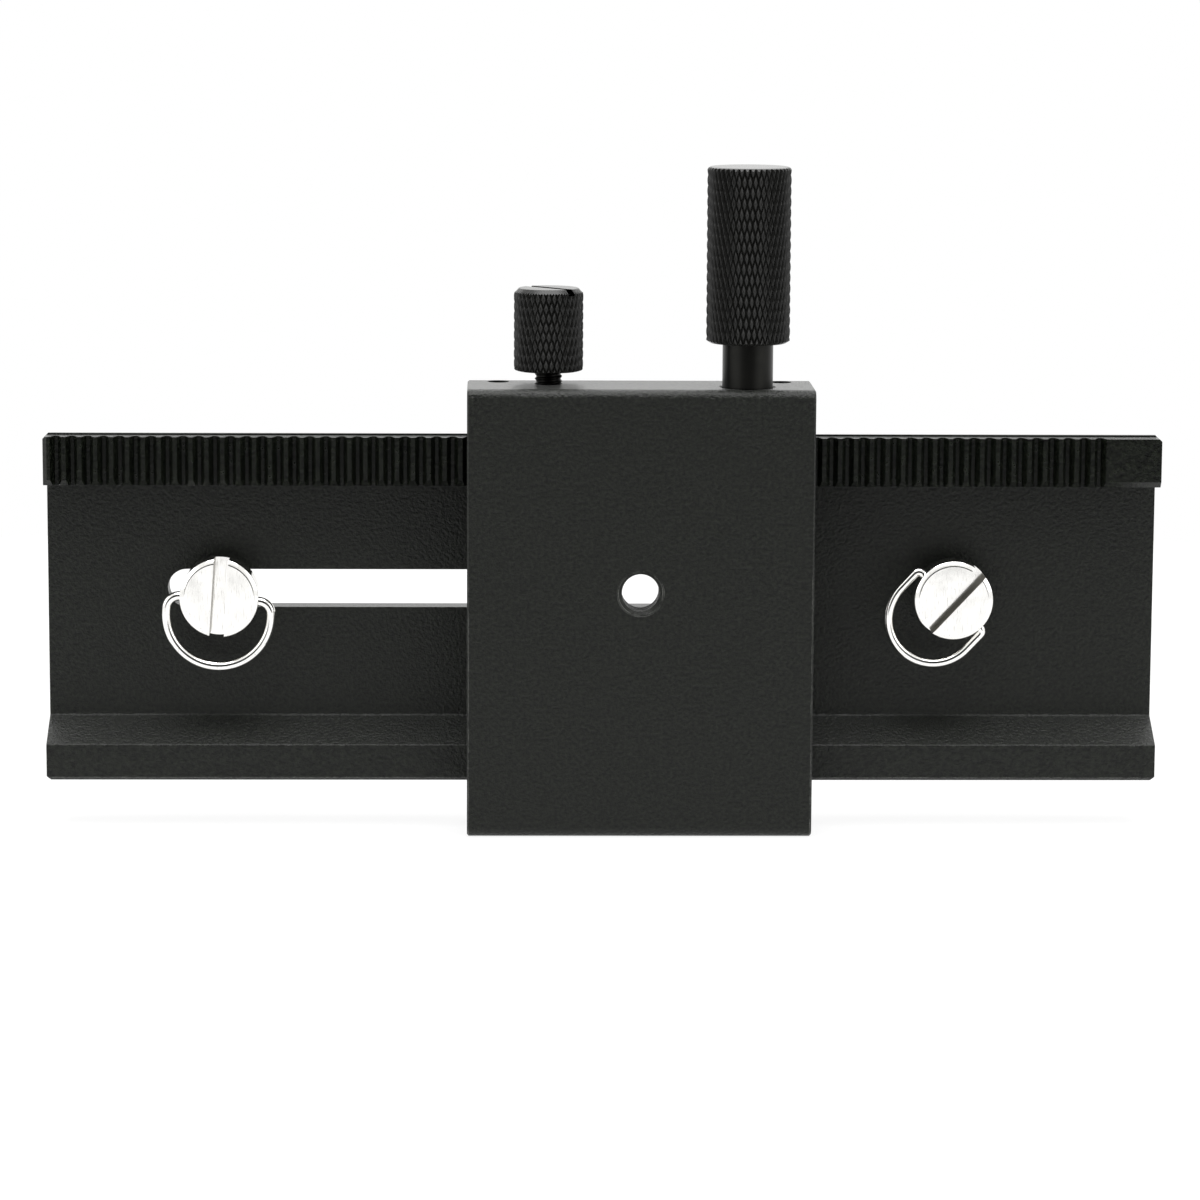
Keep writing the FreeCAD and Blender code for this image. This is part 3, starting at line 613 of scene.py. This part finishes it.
def blast(name):
    """The blasted finish. Returns its material, tree, coordinates, gloss, bump and shader."""
    material, tree, mm = start_material(name)
    dents = add_node(tree, "ShaderNodeTexNoise",
                     {"Vector": mm, "Scale": 1 / DENT, "Detail": 3.0, "Roughness": 0.6})
    mottle = add_node(tree, "ShaderNodeMapRange", {0: dents.outputs[0], 1: 0.35, 2: 0.68})
    tone = add_node(tree, "ShaderNodeMix",
                    {0: mottle.outputs[0], 6: linear("#030403"), 7: linear("#171a14")},
                    data_type="RGBA")
    # Pale dashes on the corners: partly wear, partly a painted highlight.
    worn_and_highlit = add_node(tree, "ShaderNodeMix",
                    {0: find_worn_and_highlit_edges(tree, mm), 6: tone.outputs[2], 7: linear("#6e6f6b")},
                    data_type="RGBA")
    graze = add_node(tree, "ShaderNodeLayerWeight", {"Blend": 0.5})
    gloss = add_node(tree, "ShaderNodeMapRange",
                     {0: graze.outputs["Facing"], 1: 0.72, 2: 0.93, 3: 0.40, 4: 0.28})
    bump = add_node(tree, "ShaderNodeBump",
                    {"Height": dents.outputs[0], "Strength": 1.0, "Distance": DENT_DEPTH * MM})
    bsdf = end_material(material, {
        "Base Color": worn_and_highlit.outputs[2], "Roughness": gloss.outputs[0], "IOR": 1.36,
        "Sheen Weight": DUST, "Sheen Roughness": 0.4, "Normal": bump.outputs[0]})
    return material, tree, mm, gloss, bump, bsdf


blasted = blast("black_anodised_aluminium_bead_blasted")[0]

# %% [markdown]
# The rail is blasted too, but its teeth are milled afterwards with a sharp cutter. They have
# hardly any dents, hold no dust and are glossier, so their flanks mirror one another and look
# nearly black. The teeth are found by their place: high on the rail and in front of its web.

# %% Blasted rail with milled teeth
TEETH_ABOVE = 44.0
TEETH_BEFORE = -0.8
MILLED_DENTS = 0.15
MILLED_ROUGHNESS = 0.24
toothed, tree, mm, gloss, bump, bsdf = blast("black_anodised_aluminium_bead_blasted_and_milled")
place_on_rail = add_node(tree, "ShaderNodeSeparateXYZ", {0: mm})
high = add_node(tree, "ShaderNodeMapRange",
                {0: place_on_rail.outputs["Z"], 1: TEETH_ABOVE, 2: TEETH_ABOVE + 1.0})
before = add_node(tree, "ShaderNodeMapRange",
                  {0: place_on_rail.outputs["Y"], 1: TEETH_BEFORE, 2: TEETH_BEFORE - 0.2})
teeth = add_node(tree, "ShaderNodeMath", {0: high.outputs[0], 1: before.outputs[0]},
                 operation="MULTIPLY")
dent_share = add_node(tree, "ShaderNodeMapRange", {0: teeth.outputs[0], 3: 1.0, 4: MILLED_DENTS})
shine = add_node(tree, "ShaderNodeMix",
                 {0: teeth.outputs[0], 2: gloss.outputs[0], 3: MILLED_ROUGHNESS})
dust = add_node(tree, "ShaderNodeMapRange", {0: teeth.outputs[0], 3: DUST, 4: 0.0})
tree.links.new(dent_share.outputs[0], bump.inputs["Strength"])
tree.links.new(shine.outputs[0], bsdf.inputs["Roughness"])
tree.links.new(dust.outputs[0], bsdf.inputs["Sheen Weight"])
print("teeth are milled above", TEETH_ABOVE, "mm")

# %% [markdown]
# The knobs are the same anodised aluminium but turned and knurled, not blasted, so they are
# smoother and a little glossier, with only a faint unevenness from the pressed metal. Their turned
# top faces shine white where they are seen from the side.

# %% Knurled aluminium
knurled, tree, mm = start_material("black_anodised_aluminium_knurled")
pressed, tone = add_grain(tree, mm, size=0.5, detail=2.0, dark="#0b0b0a", light="#121210")
bump = add_node(tree, "ShaderNodeBump",
                {"Height": pressed, "Strength": 0.5, "Distance": 0.02 * MM})
graze = add_node(tree, "ShaderNodeLayerWeight", {"Blend": 0.5})
gloss = add_node(tree, "ShaderNodeMapRange",
                 {0: graze.outputs["Facing"], 1: 0.80, 2: 0.93, 3: 0.32, 4: 0.12})
end_material(knurled, {"Base Color": tone, "Roughness": gloss.outputs[0], "IOR": 1.42,
                       "Normal": bump.outputs[0]})

# %% [markdown]
# The shaft, the stud and the small screws are steel with a black oxide. The layer is so thin that
# the metal still shines through it: a dark metal with a satin gloss, not a paint.

# %% Black oxide steel
black_steel, tree, mm = start_material("black_oxide_steel_turned")
tone = add_grain(tree, mm, size=1.5, detail=3.0, dark="#222221", light="#2a2a28")[1]
end_material(black_steel, {"Base Color": tone, "Metallic": 1.0, "Roughness": 0.34})

# %% [markdown]
# The camera screws and rings are steel, polished and plated with bright nickel. Nickel is nearly a
# mirror with a faint warm tint. Handling leaves smudges that dull it in patches, and fine
# scratches.

# %% Nickel plate
nickel, tree, mm = start_material("nickel_plated_steel_polished")
smudge = add_node(tree, "ShaderNodeTexNoise", {"Vector": mm, "Scale": 1 / 2.2, "Detail": 4.0})
gloss = add_node(tree, "ShaderNodeMapRange",
                 {0: smudge.outputs[0], 1: 0.35, 2: 0.7, 3: 0.08, 4: 0.15})
stretch = add_node(tree, "ShaderNodeMapping",
                   {"Vector": mm, "Rotation": (0, math.radians(35), 0), "Scale": (9.0, 9.0, 0.6)})
scratch = add_node(tree, "ShaderNodeTexNoise",
                   {"Vector": stretch.outputs[0], "Scale": 1.0, "Detail": 2.0})
scratched = add_node(tree, "ShaderNodeMapRange",
                     {0: scratch.outputs[0], 1: 0.60, 2: 0.74, 3: 0.0, 4: 0.8})
tone = add_node(tree, "ShaderNodeMix",
                {0: scratched.outputs[0], 6: linear("#fbfaf7"), 7: linear("#b9b6af")},
                data_type="RGBA")
end_material(nickel, {"Base Color": tone.outputs[2], "Metallic": 1.0,
                      "Roughness": gloss.outputs[0]})

# %% [markdown]
# The walls of the screws' slots keep the marks of the milling cutter under the plate, so they are
# duller and a little darker.

# %% Milled nickel plate
milled, tree, mm = start_material("nickel_plated_steel_milled")
tone = add_grain(tree, mm, size=0.4, detail=3.0, dark="#8d8b86", light="#c9c6be")[1]
end_material(milled, {"Base Color": tone, "Metallic": 1.0, "Roughness": 0.4})

# %% [markdown]
# The bush, the thin washers and the pads are plastic: black nylon for most, and white acetal for
# the gib strip and the lock pad. Moulded or sawn, they are matt with a fine grain.

# %% Plastics
def add_plastic(name, size, dark, light, depth, roughness):
    """A matt plastic whose grain has this size and depth."""
    material, tree, mm = start_material(name)
    grain, tone = add_grain(tree, mm, size, detail=2.0, dark=dark, light=light)
    bump = add_node(tree, "ShaderNodeBump",
                    {"Height": grain, "Strength": 0.4, "Distance": depth * MM})
    end_material(material, {"Base Color": tone, "Roughness": roughness, "Normal": bump.outputs[0]})
    return material


nylon = add_plastic("black_nylon_moulded", 0.3, "#191919", "#212120", depth=0.02, roughness=0.5)
acetal = add_plastic("white_acetal_sawn", 0.4, "#dedcd3", "#eae8e0", depth=0.03, roughness=0.45)

# %% [markdown]
# Each piece takes its finish. The pieces of the frame keep their meshes and only change material.

# %% Dress the frame's pieces
FINISHES = (
    (blasted, ("carriage_block",)),
    (toothed, ("rail",)),
    (black_steel, ("pinion_shaft", "gib_screw_left", "gib_screw_right", "focus_set_screw",
                   "shaft_retaining_ring")),
    (nickel, ("left_screw_ring", "right_screw_ring")),
    (nylon, ("shaft_bush", "shaft_thrust_washer", "left_screw_washer", "right_screw_washer")),
    (acetal, ("gib_strip", "lock_pad")),
)
for material, names in FINISHES:
    for name in names:
        cad[name].material_slots[0].material = material
print("finishes on the frame:", len(FINISHES))

# %% [markdown]
# The new pieces are shaded smooth where their faces meet at a small angle, which keeps the edges
# of the knurl and the thread crisp. Weighted normals let the large faces stay flat, so that the
# smoothing bends the shading only in the narrow roundings beside them.

# %% Dress the new pieces
NEW_PIECES = (
    (focus_knob, (knurled,), 25),
    (lock_knob, (knurled,), 25),
    (lock_stud, (black_steel,), 35),
    (tripod_thread, (blasted,), 35),
    (screw, (nickel, milled), 30),
    (right_screw, (nickel, milled), 30),
)
for piece, materials, smooth_angle in NEW_PIECES:
    for material in materials:
        piece.data.materials.append(material)
    select_only(piece)
    bpy.ops.object.shade_smooth_by_angle(angle=math.radians(smooth_angle))
    finish(piece, "WEIGHTED_NORMAL", keep_sharp=True)
print("dressed", len(NEW_PIECES), "new pieces")
